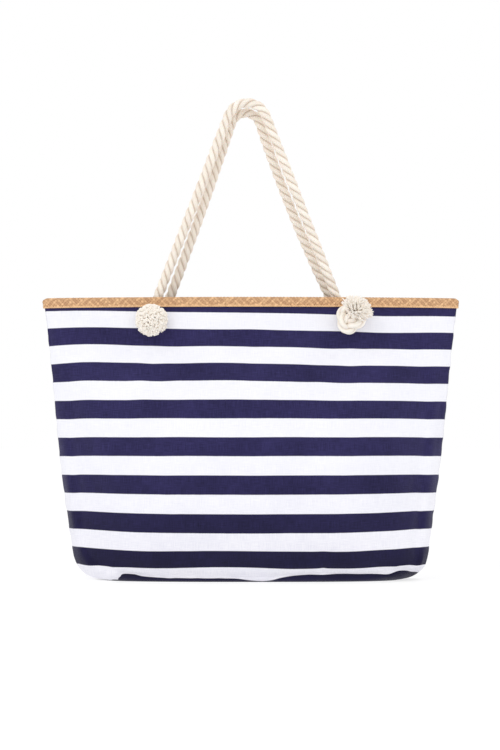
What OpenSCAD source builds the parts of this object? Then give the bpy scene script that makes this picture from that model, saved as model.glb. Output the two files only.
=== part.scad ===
// Striped canvas beach tote: two canvas halves, a lining, a plaited straw band round the rim,
// two twisted rope handles that end in stopper knots, and a zipped inside pocket.
// Millimetres. +X to the right, -Y to the front, +Z up. Origin: middle of the base, on the ground.

/* [Bag] */
// Height of the rim above the ground
bag_h = 374; // [350:1:400]
// Width of the canvas across the rim
rim_w = 554; // [520:1:570]
// Depth of the mouth as the bag stands
mouth_d = 54; // [54:1:64]
// Width of the canvas just above the rounded bottom corners
low_w = 470; // [440:1:500]
// Depth of the belly where it is fullest
belly_d = 176; // [150:1:190]
// Height of the fullest part of the belly
belly_z = 105; // [95:1:120]
// Depth of the flat base
base_d = 104; // [96:1:120]
// Radius of the bottom corners, seen from the front
corner_r = 40; // [32:1:50]

/* [Cloth] */
// Thickness of the canvas
canvas_t = 1.5; // [1.2:0.1:1.8]
// Thickness of the lining
lining_t = 0.8; // [0.6:0.1:1]

/* [Rim band] */
// Height of the plaited band on the outside
band_h = 13; // [10:1:14]
// Height of the plaited band on the inside
band_in_h = 10; // [8:1:12]
// Thickness of the plait
band_t = 2.2; // [1.8:0.1:2.4]

/* [Rope handles] */
// Diameter of the rope
rope_d = 13.5; // [12:0.5:13.5]
// Height of the front handle's top above the ground
front_top = 642; // [600:1:660]
// Height of the back handle's top above the ground
back_top = 632; // [590:1:650]
// How far the top of the front handle lies to the right of the middle
front_lean = -5; // [-8:1:8]
// How far the top of the back handle lies to the right of the middle
back_lean = -7; // [-8:1:8]
// Distance of the front handle's left foot from the middle of the bag
front_left = 124; // [112:1:125]
// Distance of the front handle's right foot from the middle of the bag
front_right = 114; // [112:1:125]
// Distance of the back handle's left foot from the middle of the bag
back_left = 109; // [104:1:116]
// Distance of the back handle's right foot from the middle of the bag
back_right = 107; // [104:1:116]
// Bend radius at the top of the front handle
front_bend = 27; // [25:1:35]
// Bend radius at the top of the back handle
back_bend = 20; // [18:1:35]
// Angle of the front handle's legs from the vertical, just under its bend
front_tilt = 21; // [18:1:22]
// Angle of the back handle's legs from the vertical, just under its bend
back_tilt = 18; // [14:1:20]

/* [Knots and eyelets] */
// Diameter of a stopper knot
knot_d = 41; // [38:1:44]
// Distance of an eyelet from the middle of the bag
eyelet_x = 129; // [125:1:133]
// Height of the eyelets
eyelet_z = 340; // [336:1:344]
// Inside diameter of an eyelet
eyelet_d = 20.8; // [20.5:0.1:21.5]
// Width of an eyelet's flange
flange_w = 4.2; // [3:0.1:5]

/* [Inside] */
// Height of the middle of the pocket's zip
zip_z = 318; // [310:1:322]
// Length of the zip between its end stops
zip_l = 140; // [110:1:150]
// Height of the bottom of the pocket
pocket_low = 190; // [170:1:220]
// Height of the magnetic snap
snap_z = 347; // [345:1:349]

/* [Hidden] */
$fn = 64;

fit_gap = 0.4;                              // between a cloth layer and what lies on it
seam_gap = 0.15;                            // from the middle plane to the edge of each canvas half
cloth_top = bag_h - band_t - fit_gap;       // canvas and lining end under the band
lining_in = canvas_t + fit_gap;             // depth of the lining's outer face inside the canvas
stack_t = lining_in + lining_t;             // canvas, gap and lining together
seam_t = 1.2;                               // thickness of a folded seam allowance
seam_lift = 0.3;                            // the bottom seam allowance lies this far over the canvas
lining_floor = canvas_t + seam_lift + seam_t + fit_gap; // underside of the lining over the bottom seam

// ---- outer shape of the bag ----
section_steps = 28;                         // steps across one half
upper_steps = 12;                           // steps from the rim to the belly
lower_steps = 7;                            // steps from the belly to the base

function blend(low, high, t) = low + (high - low) * t;
function ease(t) = let (c = max(0, min(1, t))) c * c * (3 - 2 * c);
function unit(v) = v / norm(v);

// Half depth at height z in the middle of a panel
function half_depth(z) =
    z < belly_z
        ? let (down = 1 - z / belly_z)
          blend(base_d / 2, belly_d / 2, pow(1 - down * down, 0.6))
        : let (up = (z - belly_z) / (bag_h - belly_z))
          blend(mouth_d / 2, belly_d / 2, (1 + cos(180 * pow(up, 1.3))) / 2);

// Half width at height z
function half_width(z) =
    let (up = max(0, z - corner_r) / (bag_h - corner_r),
         down = max(0, 1 - z / corner_r))
    blend(low_w / 2, rim_w / 2, up) - corner_r * (1 - sqrt(1 - down * down));

// A section is a rounded box at the base, an oval at the belly and a lens at the rim
function x_power(z) = blend(0.7, 1, min(1, z / belly_z));
function y_power(z) =
    z < belly_z
        ? blend(0.7, 1.1, z / belly_z)
        : blend(1.1, 1.6, (z - belly_z) / (bag_h - belly_z));

function signed_pow(v, p) = sign(v) * pow(abs(v), p);

// Point of the section at height z. Angle 0 is the middle of the front and 90 the right side.
// The point moves in by inset on the front and back and by side on the left and right.
function skin(angle, z, inset, side) = [
    (half_width(z) - side) * signed_pow(sin(angle), x_power(z)),
    -(half_depth(z) - inset) * signed_pow(cos(angle), y_power(z)),
    z
];

// Heights of the rows from the top of a wall to the base, closer together at the rim and the bottom round
function wall_rows(top) = concat(
    [for (i = [0 : upper_steps]) blend(top, belly_z, pow(i / upper_steps, 1.4))],
    [for (i = [1 : lower_steps]) belly_z * (1 - sin(90 * i / lower_steps))]
);

// The lining leaves room for the side seams below the rim
room_at_rim = 2;
room_below = 10;
room_fade = 25;
function side_room(z) = blend(room_at_rim, room_below, ease((cloth_top - z) / room_fade));

// How far an inner layer lifts over the base
function lift(z, height) = z < belly_z ? height * pow(1 - z / belly_z, 4) : 0;

half_angles = [for (i = [0 : section_steps]) -90 + 180 * i / section_steps];

// One face of the front half of a cloth bag: rows down the wall, then one row along the middle of the base.
// Room is 1 for a layer that keeps clear of the side seams and 0 for the canvas.
function half_face(inset, side, room, floor_z) =
    let (wall = [
        for (z = wall_rows(cloth_top)) [
            for (angle = half_angles)
                let (p = skin(angle, z, inset, side + room * side_room(z)))
                [p[0], min(0, p[1]) - seam_gap, z + lift(z, floor_z)]
        ]
    ])
    concat(wall, [[for (p = wall[len(wall) - 1]) [p[0], -seam_gap, p[2]]]]);

// ---- solids from two matching faces ----
function quad(a, b, c, d) = [[a, b, c], [a, c, d]];
function apart(points, t) =
    points[t[0]] != points[t[1]] && points[t[1]] != points[t[2]] && points[t[2]] != points[t[0]];

// Joins an outer and an inner face, both lists of rows, into one closed solid
module between(outer, inner) {
    rows = len(outer);
    columns = len(outer[0]);
    half = rows * columns;
    points = [for (face = [outer, inner]) for (row = face) for (p = row) p];
    last_row = (rows - 1) * columns;
    quads = concat(
        [for (r = [0 : rows - 2]) for (c = [0 : columns - 2])
            let (k = r * columns + c) quad(k, k + 1, k + columns + 1, k + columns)],
        [for (r = [0 : rows - 2]) for (c = [0 : columns - 2])
            let (k = half + r * columns + c) quad(k, k + columns, k + columns + 1, k + 1)],
        [for (c = [0 : columns - 2]) quad(c, c + half, c + half + 1, c + 1)],
        [for (c = [0 : columns - 2])
            let (k = last_row + c) quad(k, k + 1, k + half + 1, k + half)],
        [for (r = [0 : rows - 2])
            let (k = r * columns) quad(k, k + columns, k + half + columns, k + half)],
        [for (r = [0 : rows - 2])
            let (k = (r + 1) * columns - 1) quad(k, k + half, k + half + columns, k + columns)]
    );
    polyhedron(points, [for (pair = quads) for (t = pair) if (apart(points, t)) t]);
}

// Sweeps rings of points, each a closed outline, into a solid. Closed sweeps meet themselves.
module through_rings(rings, closed = false) {
    n = len(rings);
    m = len(rings[0]);
    points = [for (ring = rings) for (p = ring) p];
    walls = [for (r = [0 : (closed ? n - 1 : n - 2)]) for (c = [0 : m - 1])
        let (here = r * m, next = ((r + 1) % n) * m, d = (c + 1) % m)
        quad(here + c, here + d, next + d, next + c)];
    ends = closed ? [] : [
        [for (c = [m - 1 : -1 : 0]) c],
        [for (c = [0 : m - 1]) (n - 1) * m + c]
    ];
    polyhedron(points, concat([for (pair = walls) for (t = pair) t], ends));
}

module back_side() { mirror([0, 1, 0]) children(); }
module left_side() { mirror([1, 0, 0]) children(); }
module both_sides() { children(); left_side() children(); }
module all_corners() { both_sides() children(); back_side() both_sides() children(); }

// ---- eyelets: a frame on the right of the front panel, +Z out of the cloth ----
eyelet_angle = asin(eyelet_x / half_width(eyelet_z));
eyelet_at = skin(eyelet_angle, eyelet_z, 0, 0);
eyelet_out = unit(cross(
    skin(eyelet_angle + 2, eyelet_z, 0, 0) - skin(eyelet_angle - 2, eyelet_z, 0, 0),
    skin(eyelet_angle, eyelet_z + 5, 0, 0) - skin(eyelet_angle, eyelet_z - 5, 0, 0)
));
eyelet_r = eyelet_d / 2;
barrel_t = 0.9;
flange_r = eyelet_r + flange_w;
flange_low = 0.7;                           // flange stands off the curved cloth
flange_high = 1.5;
washer_t = 0.8;
washer_gap = 0.1;                           // round the barrel and under the lip
washer_high = -stack_t - fit_gap;
washer_low = washer_high - washer_t;
lip_w = 1.4;
lip_round = 0.5;
lip_low = washer_low - washer_gap - lip_round;
cloth_hole_gap = 0.3;
cloth_hole_r = eyelet_r + barrel_t + cloth_hole_gap;
cloth_hole_h = 24;                          // long enough to go through both cloths

module on_eyelet() {
    translate(eyelet_at)
        rotate([0, acos(eyelet_out[2]), atan2(eyelet_out[1], eyelet_out[0])])
            children();
}

module cloth_holes() {
    both_sides() on_eyelet() cylinder(h = cloth_hole_h, r = cloth_hole_r, center = true);
}

// ---- rope ----
rope_r = rope_d / 2;
rope_y = rope_r + 2.25;                     // each handle stands this far from the middle plane
rope_sides = 20;
bend_steps = 12;
leg_steps = 6;
split_z = bag_h;                            // handles part from their tails level with the rim
split_gap = 0.3;
knot_r = knot_d / 2;
knot_flat = 2;                              // the knot's flat back, above the cloth
knot_press = 4;                             // how much of the ball the flat takes away
drop_angle = 3;                             // the rope runs down and out through the eyelet
tail_down = 2.6;                            // its end lies this far below the eyelet's middle
tail_aside = 0.1;                           // and it heads a little away from the middle of the bag
tail_pull = [12, 21];                       // stiffness of its curve at the leg and at the knot

function bezier(p, t) =
    pow(1 - t, 3) * p[0] + 3 * t * pow(1 - t, 2) * p[1] + 3 * t * t * (1 - t) * p[2] + pow(t, 3) * p[3];
function bezier_way(p, t) =
    unit(pow(1 - t, 2) * (p[1] - p[0]) + 2 * t * (1 - t) * (p[2] - p[1]) + t * t * (p[3] - p[2]));

// A right leg's curve, from the end of the bend down to the foot, which flares a little
function leg_route(top, lean, foot, bend, tilt) =
    let (start = [lean, -rope_y, top - rope_r - bend] + bend * [cos(tilt), 0, sin(tilt)],
         end = [foot, -rope_y, split_z],
         corner = start + norm(end - start) / 2 * [sin(tilt), 0, -cos(tilt)])
    [start, blend(start, corner, 2 / 3), blend(end, corner, 2 / 3), end];

// Left and right leg. The left one is given as its mirror image on the right.
front_legs = [
    leg_route(front_top, -front_lean, front_left, front_bend, front_tilt),
    leg_route(front_top, front_lean, front_right, front_bend, front_tilt)
];
back_legs = [
    leg_route(back_top, -back_lean, back_left, back_bend, back_tilt),
    leg_route(back_top, back_lean, back_right, back_bend, back_tilt)
];

// Ring of the rope round a point of the loop. Out points away from the loop's inside.
function loop_ring(centre, out) = [
    for (i = [0 : rope_sides - 1])
        centre + rope_r * (cos(360 * i / rope_sides) * out + sin(360 * i / rope_sides) * [0, 1, 0])
];

// Hand is 1 on the right leg and -1 on the left
function leg_ring(leg, t, hand) =
    let (at = bezier(leg, t), way = bezier_way(leg, t))
    loop_ring([hand * at[0], at[1], at[2]], [-hand * way[2], 0, way[0]]);

// The loop goes up the right leg, round the bend and down the left leg
module rope_loop(legs, bend, tilt) {
    centre = legs[1][0] - bend * [cos(tilt), 0, sin(tilt)];
    through_rings(concat(
        [for (i = [leg_steps : -1 : 1]) leg_ring(legs[1], i / leg_steps, 1)],
        [for (i = [0 : bend_steps])
            let (turn = blend(tilt, 180 - tilt, i / bend_steps), out = [cos(turn), 0, sin(turn)])
            loop_ring(centre + bend * out, out)],
        [for (i = [1 : leg_steps]) leg_ring(legs[0], i / leg_steps, -1)]
    ));
}

// A tail runs from the foot of its leg, down inside the rim, to the flat back of its knot
tail_rings = 12;
tail_end = eyelet_at + eyelet_out * knot_flat - [0, 0, tail_down];
tail_out = unit([tail_aside, -cos(drop_angle), -sin(drop_angle)]);

function tail_route(leg) =
    let (way = unit(leg[3] - leg[2]))
    [leg[3] + way * split_gap, leg[3] + way * tail_pull[0], tail_end - tail_out * tail_pull[1], tail_end];

// The last ring lies flat against the knot
function tail_ring(route, t) =
    let (way = bezier_way(route, t),
         across = unit(cross([1, 0, 0], way)),
         over = cross(way, across))
    [for (i = [0 : rope_sides - 1])
        let (p = bezier(route, t) + rope_r * (cos(360 * i / rope_sides) * over
                                              + sin(360 * i / rope_sides) * across))
        t < 1 ? p : p - way * ((p - tail_end) * eyelet_out) / (way * eyelet_out)];

module rope_tail(leg) {
    route = tail_route(leg);
    through_rings([for (i = [0 : tail_rings]) tail_ring(route, i / tail_rings)]);
}

module rope_tails(legs) {
    rope_tail(legs[1]);
    left_side() rope_tail(legs[0]);
}

module knot() {
    on_eyelet() difference() {
        translate([0, 0, knot_flat + knot_r - knot_press]) sphere(knot_r);
        translate([-knot_r, -knot_r, knot_flat - knot_d]) cube([knot_d, knot_d, knot_d]);
    }
}

// ---- inside of the back panel: a flat frame against the lining, +Z up the cloth, -Y into the bag ----
function lining_y(x, z) =
    let (angle = asin(x / (half_width(z) - side_room(z) - lining_t)))
    -skin(angle, z, stack_t, 0)[1];

slope_span = 20;                            // height over which the lining's slope is taken
function lining_slope(x, z) =
    (lining_y(x, z - slope_span / 2) - lining_y(x, z + slope_span / 2)) / slope_span;

module on_lining(x, z) {
    translate([0, lining_y(x, z) - fit_gap, z]) rotate([atan(lining_slope(x, z)), 0, 0]) children();
}

tape_end = 12;                              // the tape goes on past each end of the zip
tape_l = zip_l + 2 * tape_end;
tape_w = 24;
tape_t = 0.8;
tooth_t = 1.6;                              // how far the teeth stand off the tape
tooth_pitch = 4;
tooth_w = 1.7;
tooth_reach = 0.5;                          // past the middle of the chain
chain_half = 3;
bead_w = 1.4;                               // the cord along each side of the chain
stop_gap = 4;                               // from the end of the chain
stop_w = 3;
stop_t = 2.2;
slider_l = 11;
slider_w = 11;
slider_low = 0.3;                           // gap from the tape
slider_roof = 2.1;
slider_top = 3.9;
slider_gap = 0.4;                           // beside the chain
slider_start = 2.5;                         // from the end of the chain when the zip is open
pin_r = 0.8;
pin_out = 6.1;                              // distance of the pull's pin from the tape
pin_gap = 0.08;
ear_t = 1.3;
ear_in = 2.4;                               // inner face of each ear, from the middle of the slider
ear_half = 1.6;
ear_past_pin = 1.4;
pull_l = 24;
pull_t = 1.5;
pull_hole_r = 1.6;
pull_hole_up = 4;                           // from the free end
zip_clear_x = tape_l / 2;
zip_slope = lining_slope(zip_clear_x, zip_z);
slider_x = -zip_l / 2 + slider_l / 2 + slider_start;

module on_zip() { translate([0, -tape_t, 0]) on_lining(zip_clear_x, zip_z) children(); }

// A block given by its lowest and highest corners
module block(low, high) { translate(low) cube(high - low); }

// ---- sub-parts ----
module canvas_front() {
    color("navy") difference() {
        between(half_face(0, 0, 0, 0), half_face(canvas_t, canvas_t, 0, canvas_t));
        cloth_holes();
    }
}

module canvas_back() { back_side() canvas_front(); }

module lining_front() {
    color("ivory") difference() {
        between(
            half_face(lining_in, canvas_t, 1, lining_floor),
            half_face(stack_t, canvas_t + lining_t, 1, lining_floor + lining_t)
        );
        cloth_holes();
    }
}

module lining_back() { back_side() lining_front(); }

// Outline of the folded plait, as [distance out of the canvas, height]
band_profile = [
    [band_t + fit_gap, bag_h - band_h],
    [band_t + fit_gap, bag_h],
    [-stack_t - band_t - fit_gap, bag_h],
    [-stack_t - band_t - fit_gap, bag_h - band_in_h],
    [-stack_t - fit_gap, bag_h - band_in_h],
    [-stack_t - fit_gap, bag_h - band_t],
    [fit_gap, bag_h - band_t],
    [fit_gap, bag_h - band_h]
];

module rim_plait() {
    steps = 4 * section_steps;
    color("burlywood") through_rings([
        for (i = [0 : steps - 1]) [
            for (p = band_profile)
                skin(360 * i / steps, p[1], -p[0], p[0] > 0 ? -p[0] : side_room(p[1]) - p[0])
        ]
    ], closed = true);
}

seam_z = [46, 338];                         // bottom and top of the side seam allowances
seam_x = [3.6, 8.8];                        // their outer and inner edges, in from the canvas's face
module side_seam_right() {
    steps = 8;
    rise = [for (i = [0 : steps]) blend(seam_z[0], seam_z[1], i / steps)];
    outline = concat(
        [for (z = rise) [half_width(z) - seam_x[0], z]],
        [for (i = [steps : -1 : 0]) [half_width(rise[i]) - seam_x[1], rise[i]]]
    );
    color("midnightblue") rotate([90, 0, 0])
        linear_extrude(seam_t, center = true) polygon(outline);
}

module side_seam_left() { left_side() side_seam_right(); }

bottom_seam_l = 320;
bottom_seam_w = 12;
module bottom_seam() {
    color("midnightblue")
        block([-bottom_seam_l / 2, -bottom_seam_w / 2, canvas_t + seam_lift],
              [bottom_seam_l / 2, bottom_seam_w / 2, canvas_t + seam_lift + seam_t]);
}

module rope_handle_front() { color("antiquewhite") rope_loop(front_legs, front_bend, front_tilt); }
module rope_handle_back() { color("antiquewhite") back_side() rope_loop(back_legs, back_bend, back_tilt); }
module rope_tails_front() { color("antiquewhite") rope_tails(front_legs); }
module rope_tails_back() { color("antiquewhite") back_side() rope_tails(back_legs); }

module knot_front_right() { color("linen") knot(); }
module knot_front_left() { color("linen") left_side() knot(); }
module knot_back_right() { color("linen") back_side() knot(); }
module knot_back_left() { color("linen") back_side() left_side() knot(); }

module eyelets() {
    color("silver") all_corners() on_eyelet() rotate_extrude() polygon([
        [eyelet_r, lip_low],
        [eyelet_r + barrel_t + lip_w, lip_low],
        [eyelet_r + barrel_t + lip_w, washer_low - washer_gap],
        [eyelet_r + barrel_t, washer_low - washer_gap],
        [eyelet_r + barrel_t, flange_low],
        [flange_r, flange_low],
        [flange_r - lip_round, flange_high],
        [eyelet_r + lip_round, flange_high],
        [eyelet_r, flange_high - lip_round]
    ]);
}

module eyelet_washers() {
    color("silver") all_corners() on_eyelet() rotate_extrude() polygon([
        [eyelet_r + barrel_t + washer_gap, washer_low],
        [flange_r - lip_round, washer_low],
        [flange_r, washer_low + lip_round],
        [flange_r, washer_high],
        [eyelet_r + barrel_t + washer_gap, washer_high]
    ]);
}

snap_r = 9;
snap_hole_r = 3;
snap_clear = 0.3;                           // round the stud in the socket
socket_h = 3.2;
socket_floor = 1.2;
stud_base = 1.6;
stud_h = 3.4;
module snap_socket() {
    color("gold") back_side() on_lining(snap_r, snap_z) rotate([90, 0, 0]) difference() {
        cylinder(h = socket_h, r = snap_r);
        translate([0, 0, socket_floor]) cylinder(h = socket_h, r = snap_hole_r);
    }
}

module snap_stud() {
    color("gold") on_lining(snap_r, snap_z) rotate([90, 0, 0]) {
        cylinder(h = stud_base, r = snap_r);
        cylinder(h = stud_h, r = snap_hole_r - snap_clear);
    }
}

// The pocket is a patch that follows the lining and is closed along its top by the zip
pocket_gap = 2;                             // under the zip's tape
pocket_top = zip_z - tape_w / 2 - pocket_gap;
pocket_angle = asin((tape_l / 2) / half_width(pocket_top));
module pocket_patch() {
    rows = 6;
    columns = 12;
    face_at = function(inset) [
        for (r = [0 : rows]) [
            for (c = [0 : columns])
                skin(blend(-pocket_angle, pocket_angle, c / columns),
                     blend(pocket_top, pocket_low, r / rows), inset, side_room(pocket_low))
        ]
    ];
    color("ivory") back_side() between(face_at(stack_t + fit_gap), face_at(stack_t + fit_gap + lining_t));
}

module zip_tape() {
    color("midnightblue") on_zip() block([-tape_l / 2, 0, -tape_w / 2], [tape_l / 2, tape_t, tape_w / 2]);
}

// One side of the chain: a bead along the tape with its teeth
module zip_comb() {
    rotate([90, 0, 0]) linear_extrude(tooth_t) {
        translate([-zip_l / 2, chain_half - bead_w]) square([zip_l, bead_w]);
        for (x = [-zip_l / 2 + tooth_w : tooth_pitch : zip_l / 2 - tooth_pitch])
            translate([x, -tooth_reach]) square([tooth_w, chain_half]);
    }
}

module zip_teeth() {
    color("gold") on_zip() {
        zip_comb();
        translate([tooth_pitch / 2, 0, 0]) rotate([0, 180, 0]) translate([-tooth_w, 0, 0]) zip_comb();
    }
}

module zip_stops() {
    color("gold") on_zip() both_sides()
        block([zip_l / 2 + stop_gap, -stop_t, -chain_half], [zip_l / 2 + stop_gap + stop_w, 0, chain_half]);
}

module zip_slider() {
    half_l = slider_l / 2;
    half_w = slider_w / 2;
    cheek = chain_half + slider_gap;
    color("gold") on_zip() translate([slider_x, 0, 0]) {
        block([-half_l, -slider_top, -half_w], [half_l, -slider_roof, half_w]);
        for (side = [-1, 1])
            block([-half_l, -slider_roof, min(side * half_w, side * cheek)],
                  [half_l, -slider_low, max(side * half_w, side * cheek)]);
        both_sides()
            block([ear_in, -pin_out - ear_past_pin, -ear_half], [ear_in + ear_t, -slider_top, ear_half]);
        translate([-ear_in, -pin_out, 0]) rotate([0, 90, 0]) cylinder(h = 2 * ear_in, r = pin_r);
    }
}

module zip_pull() {
    eye_r = 1.9;
    eye_w = 3.6;
    tab_w = 6;
    color("gold") on_zip() translate([slider_x, -pin_out, 0]) rotate([-atan(zip_slope), 0, 0])
        difference() {
            union() {
                rotate([0, 90, 0]) cylinder(h = eye_w, r = eye_r, center = true);
                rotate([90, 0, 0]) linear_extrude(pull_t, center = true) polygon([
                    [-eye_w / 2, 0],
                    [-tab_w / 2, -pull_l / 2],
                    [-tab_w / 2, -pull_l],
                    [tab_w / 2, -pull_l],
                    [tab_w / 2, -pull_l / 2],
                    [eye_w / 2, 0]
                ]);
            }
            rotate([0, 90, 0]) cylinder(h = tab_w + 1, r = pin_r + pin_gap, center = true);
            translate([0, 0, pull_hole_up - pull_l]) rotate([90, 0, 0])
                cylinder(h = 2 * pull_t, r = pull_hole_r, center = true);
        }
}

canvas_front();
canvas_back();
lining_front();
lining_back();
rim_plait();
side_seam_left();
side_seam_right();
bottom_seam();
rope_handle_front();
rope_handle_back();
rope_tails_front();
rope_tails_back();
knot_front_left();
knot_front_right();
knot_back_left();
knot_back_right();
eyelets();
eyelet_washers();
snap_socket();
snap_stud();
pocket_patch();
zip_tape();
zip_teeth();
zip_stops();
zip_slider();
zip_pull();
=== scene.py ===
"""Beach tote: striped canvas, plaited straw rim, twisted rope handles with stopper knots, zipped pocket."""
import math

import bmesh
import bpy
import numpy as np
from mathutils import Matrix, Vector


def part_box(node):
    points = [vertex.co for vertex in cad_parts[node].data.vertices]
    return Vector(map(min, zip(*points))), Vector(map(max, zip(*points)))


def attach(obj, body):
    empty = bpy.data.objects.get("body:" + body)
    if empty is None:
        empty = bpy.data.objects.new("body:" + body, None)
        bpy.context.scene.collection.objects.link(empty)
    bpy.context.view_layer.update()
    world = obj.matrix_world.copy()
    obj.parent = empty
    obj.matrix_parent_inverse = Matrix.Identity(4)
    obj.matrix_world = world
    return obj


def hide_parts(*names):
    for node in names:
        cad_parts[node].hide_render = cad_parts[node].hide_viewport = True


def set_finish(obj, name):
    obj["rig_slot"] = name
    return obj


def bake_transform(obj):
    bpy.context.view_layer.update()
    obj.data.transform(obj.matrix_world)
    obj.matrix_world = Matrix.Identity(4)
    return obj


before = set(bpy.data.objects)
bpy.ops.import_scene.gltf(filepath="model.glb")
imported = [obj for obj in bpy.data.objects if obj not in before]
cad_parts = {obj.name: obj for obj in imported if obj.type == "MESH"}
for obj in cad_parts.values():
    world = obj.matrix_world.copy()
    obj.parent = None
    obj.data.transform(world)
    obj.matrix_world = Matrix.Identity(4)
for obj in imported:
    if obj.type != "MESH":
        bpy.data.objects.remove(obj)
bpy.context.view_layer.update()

MM = 0.001
FULL = 2 * math.pi

# ---- sizes of the bag, in metres ----
bag_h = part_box("rim_plait")[1].z
rim_w, mouth_d = 554 * MM, 54 * MM
low_w, corner_r = 470 * MM, 40 * MM
belly_d, belly_z, base_d = 176 * MM, 105 * MM, 104 * MM
cloth_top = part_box("canvas_front")[1].z
canvas_t, lining_t = 1.5 * MM, 0.8 * MM
lining_in = 1.9 * MM
lining_floor = 3.4 * MM
stack_t = lining_in + lining_t
seam_gap, fit_gap = 0.15 * MM, 0.4 * MM
band_h, band_in_h, band_t = 13 * MM, 10 * MM, 2.2 * MM

# ---- sizes of the rope, the eyelets and the knots ----
rope_d = 13.5 * MM
rope_r = rope_d / 2
rope_y = rope_r + 2.25 * MM
handles = {
    "front": {"top": 642 * MM, "lean": -5 * MM, "feet": (124 * MM, 114 * MM),
              "bend": 27 * MM, "tilt": math.radians(21), "side": 1},
    "back": {"top": 632 * MM, "lean": -7 * MM, "feet": (109 * MM, 107 * MM),
             "bend": 20 * MM, "tilt": math.radians(18), "side": -1},
}
eyelet_x, eyelet_z = 129 * MM, 340 * MM
knot_flat = 2 * MM
tail_drop, tail_down = math.radians(3), 2.6 * MM

# ---- inside of the back panel ----
zip_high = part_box("zip_tape")[1]
zip_half = zip_high.x
pocket_low, pocket_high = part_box("pocket_patch")
snap_z = (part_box("snap_socket")[0].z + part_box("snap_socket")[1].z) / 2


# ---- outer shape of the bag ----
def blend(low, high, share):
    return low + (high - low) * share


def ease(share):
    share = np.clip(share, 0, 1)
    return share * share * (3 - 2 * share)


def half_depth(z):
    """Half depth at height z in the middle of a panel."""
    down = np.clip(1 - z / belly_z, 0, 1)
    up = np.clip((z - belly_z) / (bag_h - belly_z), 0, 1)
    low = blend(base_d / 2, belly_d / 2, (1 - down ** 2) ** 0.6)
    high = blend(mouth_d / 2, belly_d / 2, (1 + np.cos(math.pi * up ** 1.3)) / 2)
    return np.where(z < belly_z, low, high)


def half_width(z):
    up = np.maximum(0, z - corner_r) / (bag_h - corner_r)
    down = np.clip(1 - z / corner_r, 0, 1)
    return blend(low_w / 2, rim_w / 2, up) - corner_r * (1 - np.sqrt(1 - down ** 2))


def signed_pow(value, power):
    return np.sign(value) * np.abs(value) ** power


def skin(angle, z, inset=0.0, side=0.0):
    """Points of the sections at height z; angle 0 is the middle of the front, 90 degrees the right side."""
    angle, z, inset, side = np.broadcast_arrays(angle, z, inset, side)
    x_power = blend(0.7, 1.0, np.clip(z / belly_z, 0, 1))
    up = (z - belly_z) / (bag_h - belly_z)
    y_power = np.where(z < belly_z, blend(0.7, 1.1, z / belly_z), blend(1.1, 1.6, up))
    x = (half_width(z) - side) * signed_pow(np.sin(angle), x_power)
    y = -(half_depth(z) - inset) * signed_pow(np.cos(angle), y_power)
    return np.stack([x, y, z], axis=-1)


def side_room(z):
    """How far the lining keeps from the side seams."""
    return blend(2 * MM, 10 * MM, ease((cloth_top - z) / (25 * MM)))


def unit(vectors):
    vectors = np.asarray(vectors, float)
    return vectors / np.maximum(np.linalg.norm(vectors, axis=-1, keepdims=True), 1e-12)


# ---- meshes ----
class Shape:
    """Gathers the points and faces of one piece, with three numbers a point that its material reads."""

    def __init__(self):
        self.points = []
        self.faces = []
        self.marks = []
        self.count = 0

    def add(self, points, faces, marks):
        points = np.asarray(points, float).reshape(-1, 3)
        self.points.append(points)
        self.marks.append(np.broadcast_to(np.reshape(marks, (-1, 3)), points.shape))
        self.faces += [[i + self.count for i in face] for face in faces]
        self.count += len(points)

    def piece(self, name, material, slot_name):
        """Makes the Blender object, with points in one place joined and every face turned outwards."""
        mesh = bpy.data.meshes.new(name)
        mesh.from_pydata(np.concatenate(self.points).tolist(), [], self.faces)
        made = mesh.attributes.new("mark", "FLOAT_VECTOR", "POINT")
        made.data.foreach_set("vector", np.concatenate(self.marks).astype(np.float32).ravel())
        work = bmesh.new()
        work.from_mesh(mesh)
        bmesh.ops.remove_doubles(work, verts=work.verts, dist=0.001 * MM)
        bmesh.ops.recalc_face_normals(work, faces=work.faces)
        work.to_mesh(mesh)
        work.free()
        mesh.polygons.foreach_set("use_smooth", [True] * len(mesh.polygons))
        mesh.materials.append(material)
        made = bpy.data.objects.new(name, mesh)
        bpy.context.scene.collection.objects.link(made)
        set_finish(made, slot_name)
        return made


def grid_faces(rows, columns, wrap=False):
    """Quads of a grid; wrap joins its last column to its first."""
    r, c = np.meshgrid(np.arange(rows - 1), np.arange(columns if wrap else columns - 1), indexing="ij")
    here = r * columns + c
    beside = r * columns + (c + 1) % columns
    return np.stack([here, beside, beside + columns, here + columns], axis=-1).reshape(-1, 4).tolist()


def lengths(path):
    """Distance along a path to each of its points."""
    return np.concatenate([[0], np.cumsum(np.linalg.norm(np.diff(path, axis=0), axis=1))])


def on_path(path, at):
    """Points of a path at some distances along it."""
    along = lengths(path)
    return np.stack([np.interp(at, along, axis) for axis in path.T], axis=1)


def resample(path, step):
    """The same path with its points evenly spaced, about step apart."""
    total = lengths(path)[-1]
    return on_path(path, np.linspace(0, total, int(round(total / step)) + 1))


def smoothed(path, times):
    """Rounds a path's corners and keeps its ends."""
    path = path.copy()
    for _ in range(times):
        path[1:-1] = (path[:-2] + 2 * path[1:-1] + path[2:]) / 4
    return path


def carried_frames(path, first=(0, 1, 0)):
    """Direction, normal and side along a path, with no twist of their own."""
    way = unit(np.gradient(path, axis=0))
    normal = np.empty_like(way)
    last = np.asarray(first, float)
    for i, direction in enumerate(way):
        last = last - direction * last.dot(direction)
        last = last / np.linalg.norm(last)
        normal[i] = last
    return way, normal, np.cross(way, normal)


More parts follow.
